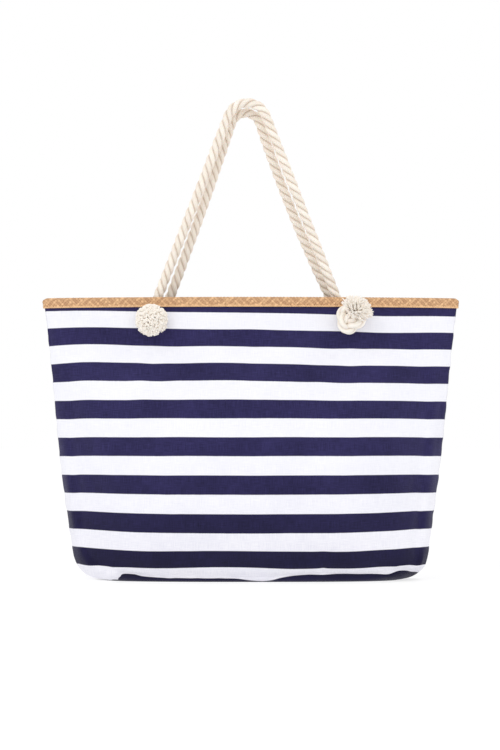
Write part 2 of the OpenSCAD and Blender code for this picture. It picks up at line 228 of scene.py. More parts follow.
def add_tube(shape, path, radius, sides, tone=0.0, groove=None, core=None, first=(0.3, 1, 0.2)):
    """Adds a closed tube; groove(angle, along) gives its radius's share, and tone marks the whole tube.

    A strand of a rope gives the rope's middle line as core, so that its marks tell how far in a point lies;
    the rope's material paints shade where a point lies deep.
    """
    along = lengths(path)
    _, normal, side = carried_frames(path, first)
    turn = np.arange(sides) * FULL / sides
    radius = np.broadcast_to(np.asarray(radius, float), along.shape)
    share = np.ones((len(path), sides)) if groove is None else groove(turn[None, :], along[:, None])
    spokes = normal[:, None] * np.cos(turn)[None, :, None] + side[:, None] * np.sin(turn)[None, :, None]
    rings = path[:, None] + spokes * (radius[:, None] * share)[..., None]
    marks = np.empty((len(path), sides, 3))
    marks[..., 0] = along[:, None]
    # The second mark is low where a point sinks into a groove or lies deep towards the rope's middle; the
    # rope's material paints these points with painted groove shade.
    marks[..., 1] = np.clip((share - 0.95) / 0.05, 0, 1)
    if core is not None:
        far = np.linalg.norm(rings - core[:, None], axis=-1)
        marks[..., 1] = 0.35 * marks[..., 1] + 0.65 * ease((far / rope_r - 0.7) / 0.25)
    marks[..., 2] = tone
    faces = grid_faces(len(path), sides, wrap=True)
    count = len(path) * sides
    faces += [[count, (c + 1) % sides, c] for c in range(sides)]
    faces += [[count + 1, count - sides + c, count - sides + (c + 1) % sides] for c in range(sides)]
    points = np.concatenate([rings.reshape(-1, 3), path[[0, -1]]])
    ends = np.array([[0, 1, tone], [along[-1], 1, tone]])
    shape.add(points, faces, np.concatenate([marks.reshape(-1, 3), ends]))


# ---- materials ----
class Paint:
    """Builds one procedural material, node by node."""

    def __init__(self, name, **sockets):
        """Sockets are the shader's, with _ for each space."""
        self.material = bpy.data.materials.new(name)
        self.material.use_nodes = True
        self.tree = self.material.node_tree
        self.shader = self.tree.nodes["Principled BSDF"]
        for key, value in sockets.items():
            self.set(key.replace("_", " "), value)

    def set(self, name, value):
        """Sets or links one of the shader's sockets."""
        self.feed(self.shader.inputs[name], value)

    def feed(self, socket, value):
        if isinstance(value, bpy.types.NodeSocket):
            self.tree.links.new(value, socket)
        else:
            socket.default_value = value

    def node(self, kind, output=0, sockets=None, **settings):
        made = self.tree.nodes.new(kind)
        for key, value in settings.items():
            setattr(made, key, value)
        for key, value in (sockets or {}).items():
            self.feed(made.inputs[key], value)
        return made.outputs[output]

    def math(self, operation, first, second=0.0, third=0.0, clamp=False):
        return self.node("ShaderNodeMath", 0, {0: first, 1: second, 2: third},
                         operation=operation, use_clamp=clamp)

    def marks(self):
        """The three numbers that each point carries."""
        vector = self.node("ShaderNodeAttribute", "Vector", attribute_name="mark")
        return self.axes(vector)

    def place(self):
        return self.axes(self.node("ShaderNodeTexCoord", "Object"))

    def axes(self, vector):
        split = self.tree.nodes.new("ShaderNodeSeparateXYZ")
        self.feed(split.inputs[0], vector)
        return list(split.outputs)

    def scaled(self, x, y, z, by):
        """A vector whose axes are multiplied by three different numbers."""
        parts = [self.math("MULTIPLY", value, factor) for value, factor in zip((x, y, z), by)]
        return self.node("ShaderNodeCombineXYZ", 0, dict(enumerate(parts)))

    def noise(self, vector, detail=3.0, roughness=0.55):
        return self.node("ShaderNodeTexNoise", 0,
                         {"Vector": vector, "Scale": 1.0, "Detail": detail, "Roughness": roughness})

    def spread(self, value, low, high, new_low=0.0, new_high=1.0):
        """Maps low..high to new_low..new_high, and holds the ends."""
        return self.node("ShaderNodeMapRange", 0,
                         {0: value, 1: low, 2: high, 3: new_low, 4: new_high}, clamp=True)

    def mix(self, share, first, second):
        return self.node("ShaderNodeMix", 2, {0: share, 6: first, 7: second}, data_type="RGBA")

    def bump(self, height, depth, strength=1.0):
        """Adds a relief of that depth, in metres, over what is there already."""
        sockets = {"Height": height, "Distance": depth, "Strength": strength}
        normal = self.shader.inputs["Normal"]
        if normal.is_linked:
            sockets["Normal"] = normal.links[0].from_socket
        self.feed(normal, self.node("ShaderNodeBump", 0, sockets))


def rgb(red, green, blue):
    """A colour from its screen values, 0 to 255."""
    return tuple(((v / 255 + 0.055) / 1.055) ** 2.4 for v in (red, green, blue)) + (1.0,)


def woven(paint, across, down, pitch, depth):
    """Plain weave: yarns go over and under each other along two axes."""
    ribs = [paint.math("SINE", paint.math("MULTIPLY", axis, FULL / pitch)) for axis in (across, down)]
    cross = paint.math("MULTIPLY", *ribs)
    flecks = paint.noise(paint.scaled(across, down, 0.0, (0.4 / pitch, 0.4 / pitch, 1)), detail=2)
    paint.bump(paint.math("MULTIPLY_ADD", cross, 0.5, paint.math("MULTIPLY", flecks, 0.8)), depth)
    return cross


def slubs(paint, across, down):
    """Thick and thin yarns: short streaks along both axes of a cloth."""
    weft = paint.noise(paint.scaled(across, down, 0.0, (70, 1300, 1)), detail=2)
    warp = paint.noise(paint.scaled(across, down, 0.0, (1300, 70, 1)), detail=2)
    return paint.math("MULTIPLY", paint.math("ADD", weft, warp), 0.5)


# The first stripe edge is this far down the cloth, and the others follow at one spacing
stripe_first = 20.0 * MM
stripe_pitch = 24.85 * MM


def striped_canvas():
    """Marks are the distances across and down the cloth."""
    paint = Paint("striped_canvas", Roughness=0.88, Sheen_Weight=0.12, Sheen_Roughness=0.5,
                  Specular_IOR_Level=0.22)
    across, down, worn = paint.marks()
    streaks = slubs(paint, across, down)
    edge = paint.math("MULTIPLY_ADD", paint.math("SUBTRACT", streaks, 0.5), 0.8 * MM, down)
    phase = paint.math("MULTIPLY", paint.math("SUBTRACT", edge, stripe_first), math.pi / stripe_pitch)
    dark = paint.spread(paint.math("SINE", phase), -0.045, 0.045, 1.0, 0.0)
    cross = woven(paint, across, down, 1.15 * MM, 0.16 * MM)
    patches = paint.noise(paint.scaled(across, down, 0.0, (14, 14, 1)), detail=4)
    # Painted shade: the yarns' over-and-under pattern makes raised yarns lighter and sunk ones darker; the
    # streaks and patches are the yarns' own tone.
    light = paint.math("MULTIPLY_ADD", paint.math("SUBTRACT", streaks, 0.5), 2.4,
                       paint.math("MULTIPLY_ADD", cross, 0.16, patches), clamp=True)
    # Painted shade: navy and white both get darker towards the bottom of the cloth, for the shade low on
    # the bag.
    painted_bottom_shade = paint.spread(down, 220 * MM, 385 * MM)
    navy = paint.mix(painted_bottom_shade, paint.mix(light, rgb(22, 18, 55), rgb(53, 48, 98)),
                     paint.mix(light, rgb(6, 4, 27), rgb(25, 21, 61)))
    white = paint.mix(painted_bottom_shade, paint.mix(light, rgb(234, 234, 243), rgb(248, 248, 253)),
                      paint.mix(light, rgb(224, 223, 236), rgb(248, 247, 252)))
    rubbed = paint.mix(paint.math("MULTIPLY", worn, 0.2), navy, rgb(90, 86, 128))
    paint.set("Base Color", paint.mix(dark, white, rubbed))
    return paint.material


def cotton(paint, across, down, relief, thin, thick, pitch, depth):
    """Colours a plain weave between two tones; relief is how much painted shade the yarns' over-and-under
    shape puts in it, sunk parts darker.
    """
    cross = woven(paint, across, down, pitch, depth)
    light = paint.math("MULTIPLY_ADD", cross, relief, slubs(paint, across, down), clamp=True)
    paint.set("Base Color", paint.mix(light, thin, thick))
    return paint.material


def plain_cloth(name, *weave):
    """Marks are distances across and down the cloth."""
    paint = Paint(name, Roughness=0.9, Sheen_Weight=0.1, Sheen_Roughness=0.5, Specular_IOR_Level=0.25)
    across, down, _ = paint.marks()
    return cotton(paint, across, down, 0.15, *weave)


def box_cloth(name, *weave):
    """Cloth on a CAD piece, woven along X and Z."""
    paint = Paint(name, Roughness=0.9, Sheen_Weight=0.1, Sheen_Roughness=0.5)
    x, _, z = paint.place()
    return cotton(paint, x, z, 0.2, *weave)


def cotton_rope(name, bright, painted_groove_shade):
    """Marks are the distance along a strand, how far out a point lies, 0 to 1, and the strand's tone;
    points that lie far in get painted groove shade.
    """
    paint = Paint(name, Roughness=0.92, Sheen_Weight=0.25, Sheen_Roughness=0.4,
                  Specular_IOR_Level=0.18, Subsurface_Weight=0.05)
    _, unshaded_share, tone = paint.marks()
    x, y, z = paint.place()
    fuzz = paint.noise(paint.scaled(x, y, z, (900, 900, 900)), detail=4, roughness=0.7)
    patch = paint.noise(paint.scaled(x, y, z, (60, 60, 60)), detail=2)
    # Painted shade: points deep in the grooves take the darker groove colour; fuzz, strand tone and patches
    # are the cotton's own variation.
    light = paint.math("MULTIPLY_ADD", unshaded_share, 0.6, paint.math("MULTIPLY_ADD", fuzz, 0.35,
                       paint.math("MULTIPLY_ADD", tone, 0.15, paint.math("MULTIPLY", patch, 0.2))),
                       clamp=True)
    paint.set("Base Color", paint.mix(light, painted_groove_shade, bright))
    paint.bump(fuzz, 0.35 * MM, 0.7)
    return paint.material


def straw():
    """Marks are the distance along a straw, the distance across it, and its tone, which holds the straw's
    own tone plus painted light and shade from the weave's ups and downs.
    """
    paint = Paint("straw_plait", Roughness=0.55, Specular_IOR_Level=0.35)
    along, across, tone = paint.marks()
    fibres = paint.noise(paint.scaled(along, across, tone, (90, 3200, 9)), detail=3, roughness=0.6)
    patches = paint.noise(paint.scaled(along, tone, 0.0, (120, 7, 1)), detail=2)
    light = paint.math("MULTIPLY_ADD", fibres, 0.55, paint.math("MULTIPLY_ADD", patches, 0.5,
                       paint.math("MULTIPLY_ADD", tone, 0.55, -0.28)), clamp=True)
    # The dark end of this mix gives the straw's darker tone and also the painted shade of the gaps and
    # under-passes.
    paint.set("Base Color", paint.mix(light, rgb(124, 60, 28), rgb(255, 214, 164)))
    paint.bump(fibres, 0.2 * MM, 0.8)
    return paint.material


def metal(name, tone, worn_tone, rough):
    """Plated metal with fine scratches and dull patches."""
    paint = Paint(name, Metallic=1.0)
    x, y, z = paint.place()
    patches = paint.noise(paint.scaled(x, y, z, (160, 160, 160)), detail=4)
    scratches = paint.noise(paint.scaled(x, y, z, (2600, 300, 300)), detail=2)
    paint.set("Base Color", paint.mix(patches, tone, worn_tone))
    dull = paint.math("MULTIPLY", scratches, patches)
    paint.set("Roughness", paint.math("MULTIPLY_ADD", dull, 0.3, rough))
    paint.bump(scratches, 0.02 * MM, 0.4)
    return paint.material


canvas_paint = striped_canvas()
lining_paint = plain_cloth("lining_cotton", rgb(216, 206, 186), rgb(240, 233, 218), 0.8 * MM, 0.1 * MM)
# The second colour of each rope is its painted groove shade.
rope_paint = cotton_rope("cotton_rope", rgb(250, 240, 229), rgb(176, 152, 126))
knot_paint = cotton_rope("knotted_rope", rgb(254, 247, 238), rgb(222, 206, 188))
straw_paint = straw()
seam_paint = box_cloth("seam_canvas", rgb(25, 21, 58), rgb(54, 49, 99), 1.15 * MM, 0.15 * MM)
tape_paint = plain_cloth("zip_tape", rgb(30, 27, 60), rgb(52, 48, 96), 0.7 * MM, 0.12 * MM)
thread_paint = plain_cloth("thread", rgb(206, 180, 140), rgb(238, 216, 180), 0.5 * MM, 0.05 * MM)
eyelet_paint = metal("eyelet_metal", rgb(214, 212, 206), rgb(178, 176, 172), 0.22)
snap_paint = metal("snap_metal", rgb(222, 190, 128), rgb(190, 156, 98), 0.26)
zip_paint = metal("zip_metal", rgb(216, 182, 118), rgb(180, 146, 88), 0.28)

# ---- camera, light and floor ----
view_d, view_h = 2.35, 1.0005
eye_x, eye_z = -1 * MM, 178 * MM
view_tilt = math.radians(2.27)
floor_half = 60


def make_camera():
    camera = bpy.data.objects.new("camera", bpy.data.cameras.new("camera"))
    camera.data.sensor_width = 36
    camera.data.lens = camera.data.sensor_width * view_d / view_h
    camera.location = (eye_x, -view_d, eye_z)
    camera.rotation_euler = (math.pi / 2 + view_tilt, 0, 0)
    bpy.context.scene.collection.objects.link(camera)
    bpy.context.scene.camera = camera


def area_light(name, place, target, size, power):
    light = bpy.data.lights.new(name, "AREA")
    light.size = size
    light.energy = power
    made = bpy.data.objects.new(name, light)
    made.location = place
    toward = np.array(target) - np.array(place)
    made.rotation_euler = (math.atan2(math.hypot(toward[0], toward[1]), -toward[2]), 0,
                           math.atan2(-toward[0], toward[1]))
    bpy.context.scene.collection.objects.link(made)


def make_studio():
    world = bpy.data.worlds.new("studio")
    world.use_nodes = True
    background = world.node_tree.nodes["Background"]
    background.inputs["Color"].default_value = (1, 1, 1, 1)
    background.inputs["Strength"].default_value = 1.0
    bpy.context.scene.world = world
    bpy.context.scene.view_settings.view_transform = "Standard"
    area_light("key", (-1.1, -1.9, 1.9), (0, 0, 0.3), 1.2, 9)
    area_light("fill", (1.6, -1.6, 1.2), (0, 0, 0.25), 1.6, 3)
    shape = Shape()
    corners = [(x * floor_half, y * floor_half, 0) for x, y in ((-1, -1), (1, -1), (1, 1), (-1, 1))]
    shape.add(corners, [[0, 1, 2, 3]], [0, 0, 0])
    paint = Paint("floor", Roughness=0.9, Base_Color=(0.34, 0.34, 0.34, 1), Specular_IOR_Level=0.0,
                  Emission_Color=(1, 1, 1, 1), Emission_Strength=0.7)
    floor = shape.piece("floor", paint.material, "striped_canvas")
    del floor["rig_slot"]


make_camera()
make_studio()


# ---- eyelets: where the rope goes through the cloth ----
eyelet_turn = math.asin(eyelet_x / float(half_width(np.array(eyelet_z))))
eyelet_at = skin(eyelet_turn, eyelet_z)
step_turn, step_z = math.radians(2), 5 * MM
eyelet_out = unit(np.cross(
    skin(eyelet_turn + step_turn, eyelet_z) - skin(eyelet_turn - step_turn, eyelet_z),
    skin(eyelet_turn, eyelet_z + step_z) - skin(eyelet_turn, eyelet_z - step_z),
))
mirror = {"left": np.array([-1.0, 1, 1]), "right": np.array([1.0, 1, 1])}
facing = {"front": np.array([1.0, 1, 1]), "back": np.array([1.0, -1, 1])}
flips = [panel * hand for panel in facing.values() for hand in mirror.values()]

# ---- rope handles ----
strands = 3
strand_r = 3.5 * MM
strand_off = rope_r - strand_r
rope_lay = 38 * MM
yarns = 8
yarn_lay = 24 * MM


def bezier(p, t):
    t = t[:, None]
    return (1 - t) ** 3 * p[0] + 3 * t * (1 - t) ** 2 * p[1] + 3 * t * t * (1 - t) * p[2] + t ** 3 * p[3]


def leg_curve(top, lean, foot, bend, tilt):
    """A right leg's curve, from the end of the bend down to the foot, which flares a little."""
    start = np.array([lean, -rope_y, top - rope_r - bend])
    start += bend * np.array([math.cos(tilt), 0, math.sin(tilt)])
    end = np.array([foot, -rope_y, bag_h])
    corner = start + np.linalg.norm(end - start) / 2 * np.array([math.sin(tilt), 0, -math.cos(tilt)])
    return [start, blend(start, corner, 2 / 3), blend(end, corner, 2 / 3), end]


def tail_curve(leg):
    """From the foot of a leg, down inside the rim, to the back of its knot."""
    way = unit(leg[3] - leg[2])
    end = eyelet_at + eyelet_out * knot_flat - np.array([0, 0, tail_down])
    out = unit([0.1, -math.cos(tail_drop), -math.sin(tail_drop)])
    return [leg[3] + way * 0.3 * MM, leg[3] + way * 12 * MM, end - out * 21 * MM, end]


def handle_path(top, lean, feet, bend, tilt, side):
    """The rope's middle line, from the right knot over the bend to the left knot."""
    t = np.linspace(0, 1, 60)
    halves = []
    for hand_lean, foot in zip((-lean, lean), feet):
        leg = leg_curve(top, hand_lean, foot, bend, tilt)
        halves.append(np.concatenate([bezier(leg, t), bezier(tail_curve(leg), t)]))
    turn = np.linspace(tilt, math.pi - tilt, 60)[1:-1]
    arc = bend * np.stack([np.cos(turn), 0 * turn, np.sin(turn)], axis=1)
    arc += np.array([lean, -rope_y, top - rope_r - bend])
    path = np.concatenate([halves[1][::-1], arc, halves[0] * mirror["left"]])
    return smoothed(resample(path, 1 * MM), 6) * np.array([1, side, 1])


def yarn_grooves(angle, along):
    """A strand's surface: its yarns stand out as low ridges that wind the other way."""
    ridge = np.abs(np.sin(yarns / 2 * (angle - FULL * along / yarn_lay)))
    return 1 - 0.05 * (1 - ridge) ** 1.5


def add_rope(shape, path, seed, offset=strand_off):
    """Lays the strands round a path, offset from its middle line."""
    noise = np.random.default_rng(seed)
    along = lengths(path)
    _, normal, side = carried_frames(path)
    for k in range(strands):
        turn = FULL * (k / strands - along / rope_lay)
        swell = 1 + 0.03 * np.sin(along / (17 * MM) + noise.uniform(0, FULL))
        arm = (offset * swell)[:, None]
        line = path + arm * (normal * np.cos(turn)[:, None] + side * np.sin(turn)[:, None])
        add_tube(shape, line, strand_r, 22, noise.uniform(0, 1), yarn_grooves, core=path)


def make_handle(name, sizes):
    path = handle_path(**sizes)
    side = sizes["side"]
    shape = Shape()
    add_rope(shape, path, seed=11 + side)
    rope = shape.piece("rope_" + name, rope_paint, "cotton_rope")
    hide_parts("rope_handle_" + name, "rope_tails_" + name)
    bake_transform(rope)


for handle_name, handle_sizes in handles.items():
    make_handle(handle_name, handle_sizes)


# ---- stopper knots: an overhand knot with a frayed end ----
knot_ring, knot_swing, knot_rise = 9.6 * MM, 5.0 * MM, 6.4 * MM
knot_strand_off, knot_out = 3.2 * MM, 13.5 * MM
yarn_r = 0.8 * MM


def overhand_path(end_way):
    """Middle line of the rope in a knot whose face looks along +Z; its end leaves along end_way."""
    t = np.linspace(math.pi / 3 + 0.3, math.pi / 3 + FULL - 0.3, 220)
    ring = knot_ring + knot_swing * np.cos(3 * t)
    loop = np.stack([ring * np.cos(2 * t), ring * np.sin(2 * t), -knot_rise * np.sin(3 * t)], axis=1)
    start = np.array([[0, 0, -knot_rise - 7 * MM], [0, 0, -knot_rise - 2 * MM]])
    rise = np.array([0, 0, knot_rise * 0.6])
    end = np.array([rise + end_way * 6 * MM, rise + end_way * 11 * MM])
    return smoothed(resample(np.concatenate([start, loop, end]), 1 * MM), 10)


def add_brush(shape, root, way, width, count, reach, first, tips, seed, droop):
    """Frayed yarns that fan out from root; width is the fan's half angle in radians.

    First is the share of the reach where they begin, and tips are a yarn's widths from there to its end.
    """
    noise = np.random.default_rng(seed)
    way = unit(way)
    across = unit(np.cross(way, [0.31, 0.17, 0.93]))
    over = np.cross(way, across)
    golden = math.pi * (3 - math.sqrt(5))
    for i in range(count):
        lean_out = width * math.sqrt((i + 0.5) / count)
        turn = golden * i + noise.uniform(-0.3, 0.3)
        lean_out += noise.uniform(-0.12, 0.12)
        sideways = across * math.cos(turn) + over * math.sin(turn)
        aim = way * math.cos(lean_out) + math.sin(lean_out) * sideways
        long = reach * noise.uniform(0.86, 1.04)
        t = np.linspace(0, 1, 7)[:, None]
        curl = (across * noise.uniform(-1, 1) + over * noise.uniform(-1, 1)) * 2.2 * MM
        path = root + aim * long * blend(first, 1, t) + droop * t * t
        path += curl * np.sin(t * noise.uniform(2, 4))
        thick = yarn_r * noise.uniform(0.8, 1.25)
        taper = thick * np.interp(t[:, 0], [0, 0.55, 0.85, 1], tips)
        add_tube(shape, path, taper, 7, noise.uniform(0, 1))


# Way of the frayed end in the knot's own frame (right, up, out), half angle, number, length, start, widths
brushes = {
    "pompom": ((0.0, 0.05, 1.0), 1.9, 1150, 20.8 * MM, 0.55, (1.2, 1.5, 1.7, 1.1)),
    "tuft": ((0.42, 0.62, 0.66), 1.15, 520, 25 * MM, 0.0, (0.8, 1.05, 1.15, 0.7)),
}
knot_styles = {
    ("front", "left"): "pompom",
    ("front", "right"): "tuft",
    ("back", "left"): "tuft",
    ("back", "right"): "pompom",
}


def make_knot(panel, hand, style, seed):
    """The knot is made looking along +Z and turned to sit on its eyelet."""
    way, *fan = brushes[style]
    flip = facing[panel] * mirror[hand]
    out = eyelet_out * flip
    right = unit(np.cross([0, 0, 1], out))
    up = np.cross(out, right)
    turn = np.stack([right, up, out], axis=1)
    way = unit(way)
    shape = Shape()
    path = overhand_path(way)
    add_rope(shape, path @ turn.T, seed, knot_strand_off)
    root = path[-1] - way * 2 * MM
    if style == "pompom":
        root = np.array([0, 0, 0.5 * MM])
    add_brush(shape, turn @ root, turn @ way, *fan, seed, np.array([0, 0, -1.2 * MM]))
    centre = eyelet_at * flip + out * (knot_flat + knot_out)
    shape.points = [points + centre for points in shape.points]
    name = f"{panel}_{hand}"
    knot = shape.piece("stopper_knot_" + name, knot_paint, "knotted_rope")
    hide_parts("knot_" + name)
    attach(knot, "bag")


for number, ((panel_name, hand_name), style_name) in enumerate(knot_styles.items()):
    make_knot(panel_name, hand_name, style_name, seed=40 + number)


# ---- cloth: one grid for the whole bag, front columns first ----
row_step = 7 * MM
half_columns = 84
base_rows = 8


def wall_heights():
    """Heights of the rows, evenly spaced along the cloth, and their distances down it."""
    z = np.linspace(cloth_top, 0, 3000)
    along = lengths(np.stack([half_depth(z), z, 0 * z], axis=1))
    down = np.linspace(0, along[-1], int(round(along[-1] / row_step)) + 1)
    return np.interp(down, along, z), down


def column_angles():
    """Angles of the columns of the front half, evenly spaced round the bag at the belly."""
    fine = np.linspace(-math.pi / 2, math.pi / 2, 2000)
    along = lengths(skin(fine, 200 * MM))
    return np.interp(np.linspace(0, along[-1], half_columns + 1), along, fine)


row_z, row_down = wall_heights()
turns = column_angles()
turns = np.concatenate([turns, turns[1:-1] + math.pi])
wall_rows = len(row_z)
rows = wall_rows + base_rows


def shell(inset=0.0, side=0.0, floor=0.0):
    """Points of a cloth all round the bag: the wall's rows, then the base's, in to the middle line."""
    lift = floor * np.clip(1 - row_z / belly_z, 0, 1) ** 4
    side = np.broadcast_to(side, row_z.shape)
    wall = skin(turns[None, :], row_z[:, None], inset, side[:, None])
    wall[..., 2] += lift[:, None]
    shrink = np.linspace(1, 0, base_rows + 1)[1:]
    base = np.repeat(wall[-1:], base_rows, axis=0)
    base[..., 1] *= shrink[:, None]
    return np.concatenate([wall, base])


def round_normals(points):
    """Outward normals of a grid that closes on itself round the bag."""
    across = np.roll(points, -1, axis=1) - np.roll(points, 1, axis=1)
    down = np.gradient(points, axis=0)
    return unit(np.cross(down, across))


def steady(points):
    """0 where the cloth is held by metal or sewn down, 1 where it is free."""
    free = np.ones(points.shape[:2])
    for flip in flips:
        far = np.linalg.norm(points - eyelet_at * flip, axis=-1)
        free *= ease((far - 16 * MM) / (30 * MM))
    free *= ease((np.hypot(points[..., 0], points[..., 2] - snap_z) - 11 * MM) / (22 * MM))
    past_pocket = np.hypot(
        np.maximum(0, np.abs(points[..., 0]) - pocket_high.x),
        np.maximum(0, np.maximum(pocket_low.z - points[..., 2], points[..., 2] - zip_high.z)),
    )
    back = points[..., 1] > 0
    free = np.where(back, free * ease((past_pocket - 8 * MM) / (26 * MM)), free)
    free *= ease((cloth_top - points[..., 2] - band_h) / (25 * MM))
    return free


def crease(points, place, way, width, long, depth, panel):
    """A fold line through place along way, as a height for each point; panel -1 is the front."""
    way = unit(way)
    x = points[..., 0] - place[0]
    z = points[..., 2] - place[1]
    along = x * way[0] + z * way[1]
    off = -x * way[1] + z * way[0]
    here = np.sign(points[..., 1]) == panel
    shape = np.exp(-(off / width) ** 2) - 0.55 * np.exp(-((off - 1.6 * width) / width) ** 2)
    return depth * here * shape * np.exp(-(along / long) ** 2)


def waves(points, seed):
    """Slow unevenness of a filled cloth bag, as a height for each point."""
    noise = np.random.default_rng(seed)
    height = np.zeros(points.shape[:2])
    for _ in range(14):
        round_count = noise.integers(2, 15)
        rise = noise.uniform(8, 40)
        size = 0.6 * MM / (0.6 + 0.09 * round_count)
        height += size * np.sin(round_count * turns + rise * points[..., 2] + noise.uniform(0, FULL))
    return height * (1 - np.exp(-np.abs(np.cos(turns)) * 4)[None, :])


def seam_puckers(points):
    """Short ripples where the side seams draw the cloth in."""
    near = np.exp(-np.abs(np.cos(turns))[None, :] * 5.5)
    z = points[..., 2]
    ripple = np.sin(FULL * z / (31 * MM))
    ripple += 0.6 * np.sin(FULL * z / (19 * MM) + 1.1 * np.sign(points[..., 0]))
    return 0.4 * MM * near * ripple * ease(z / (60 * MM))


def shaped(points):
    """Adds the creases of a bag that has been carried and set down."""
    # Place (x, z) and way of each, its width, length and depth in mm, and its panel
    creases = [
        ((-0.168, 0.014), (1, -0.10), 5, 40, 2.6, -1),
        ((0.196, 0.016), (1, 0.16), 5, 34, 2.4, -1),
        ((0.06, 0.022), (1, 0.05), 6, 60, 1.4, -1),
        ((0.222, 0.12), (0.3, 1), 5, 55, 1.6, -1),
        ((-0.225, 0.16), (-0.22, 1), 6, 60, 1.4, -1),
    ]
    for hand in (-1, 1):
        creases += [
            ((hand * 0.14, 0.25), (hand * 0.25, 1), 16, 60, 1.5, -1),
            ((hand * 0.10, 0.27), (hand * 0.9, 1), 12, 45, 1.2, -1),
            ((hand * 0.15, 0.26), (hand * 0.2, 1), 15, 60, 1.5, 1),
            ((hand * 0.18, 0.02), (1, hand * 0.1), 6, 40, 2.2, 1),
        ]
    height = waves(points, 5) + seam_puckers(points)
    for place, way, width, long, depth, panel in creases:
        height += crease(points, place, way, width * MM, long * MM, depth * MM, panel)
    on_floor = ease(points[..., 2] / (12 * MM))
    free = steady(points) * on_floor
    free[wall_rows:] = 0
    return points + round_normals(points) * (height * free)[..., None]


settle_frames = 22
settle_cap = 5 * MM


def settled(points):
    """Lets the cloth hang from the rim under its weight, filled with air, and takes up its folds."""
    mesh = bpy.data.meshes.new("settling")
    columns = points.shape[1]
    mesh.from_pydata(points.reshape(-1, 3).tolist(), [], grid_faces(rows, columns, wrap=True))
    made = bpy.data.objects.new("settling", mesh)
    bpy.context.scene.collection.objects.link(made)
    held = made.vertex_groups.new(name="held")
    firm = 1 - steady(points)
    firm[points[..., 2] < 5 * MM] = 1
    firm[wall_rows:] = 1
    for i, weight in enumerate(firm.ravel()):
        if weight > 0.02:
            held.add([i], float(weight), "REPLACE")
    cloth = made.modifiers.new("cloth", "CLOTH")
    cloth.settings.quality = 5
    cloth.settings.mass = 0.25
    cloth.settings.tension_stiffness = 18
    cloth.settings.compression_stiffness = 18
    cloth.settings.shear_stiffness = 8
    cloth.settings.bending_stiffness = 2.5
    cloth.settings.air_damping = 3
    cloth.settings.vertex_group_mass = "held"
    cloth.settings.use_pressure = True
    cloth.settings.uniform_pressure_force = 1.2
    cloth.point_cache.frame_end = settle_frames
    for moment in range(1, settle_frames + 1):
        bpy.context.scene.frame_set(moment)
    done = made.evaluated_get(bpy.context.evaluated_depsgraph_get()).to_mesh()
    found = np.empty(len(done.vertices) * 3, np.float32)
    done.vertices.foreach_get("co", found)
    bpy.data.objects.remove(made)
    bpy.context.scene.frame_set(1)
    move = found.reshape(points.shape).astype(float) - points
    far = np.linalg.norm(move, axis=-1, keepdims=True)
    return points + move * np.minimum(1, settle_cap / np.maximum(far, 1e-9))


def refined(grid):
    """Doubles a grid's rows and columns on smooth curves through its points."""
    for axis in (0, 1):
        grid = np.moveaxis(grid, axis, 0)
        padded = np.concatenate([2 * grid[:1] - grid[1:2], grid, 2 * grid[-1:] - grid[-2:-1]])
        middle = (9 * (padded[1:-2] + padded[2:-1]) - padded[:-3] - padded[3:]) / 16
        dense = np.empty((2 * len(grid) - 1,) + grid.shape[1:])
        dense[0::2] = grid
        dense[1::2] = middle
        grid = np.moveaxis(dense, 0, axis)
    return grid


def half_of(grid, panel):
    """The columns of the front or the back half, left to right as seen from that side."""
    if panel == "front":
        return grid[:, :half_columns + 1]
    return np.concatenate([grid[:, half_columns:], grid[:, :1]], axis=1)


def hump(x, place, width):
    return np.exp(-((x - place) / width) ** 2)


# Small folds over the front's bottom edge, in mm: rise of the last stripe, place and width
bottom_folds = [(-7.5, 13, 22), (6, 125, 18), (27, 200, 12), (6, -163, 12)]


def bottom_pull(x):
    """How far the front's last stripe is drawn up over the bottom edge, from left to right."""
    pull = 10 * MM + 4.5 * MM * ease((x - 10 * MM) / (80 * MM))
    for rise, place, width in bottom_folds:
        pull += rise * MM * hump(x, place * MM, width * MM)
    return pull * ease((x + 177 * MM) / (11 * MM))


# Slow waves in the front's upper stripes, in mm: rise, place across and down, width across and down
ripples = [
    (5.7, -215, 80, 65, 50),
    (3.9, -50, 100, 110, 45),
    (-2.3, 165, 35, 60, 28),
    (-2.2, 0, 20, 1000, 12),
]


def down_marks(points):
    """Distance from the rim for each row, with the small slant and pull that the front's stripes have."""
    base_down = row_down[-1] + np.linspace(0, base_d / 2, base_rows + 1)[1:]
    down = np.concatenate([row_down, base_down])[:, None] + bag_h - cloth_top
    x = points[..., 0]
    front = points[..., 1] < 0
    slant = 3.5 * MM * x / (215 * MM) * np.clip(1 - down / (90 * MM), 0, 1)
    bow = 4 * MM * hump(x, -20 * MM, 80 * MM) * ease((down - 320 * MM) / (45 * MM))
    drawn = blend(bow, bottom_pull(x), ease((down - 365 * MM) / (16 * MM)))
    near_side = np.clip((np.abs(x) - 110 * MM) / (115 * MM), 0, 1) ** 2
    drawn += 5 * MM * near_side * ease((down - 220 * MM) / (130 * MM))
    for row in ripples:
        rise, x_place, down_place, x_width, down_width = np.array(row) * MM
        drawn += rise * hump(x, x_place, x_width) * hump(down, down_place, down_width)
    marks = np.where(front, down - slant + drawn, down + slant)
    # The last navy stripe goes on round the right corner's fold
    last = stripe_first + 15.9 * stripe_pitch
    tucked = front & (down < last + 16 * MM * hump(x, 200 * MM, 30 * MM))
    return np.where(tucked, np.minimum(marks, last), marks)


def across_marks(points):
    """Distance across the cloth from the middle of each row."""
    across = np.zeros(points.shape[:2])
    across[:, 1:] = np.cumsum(np.linalg.norm(np.diff(points, axis=1), axis=-1), axis=1)
    return across - across[:, points.shape[1] // 2, None]


hole_r = 12.6 * MM


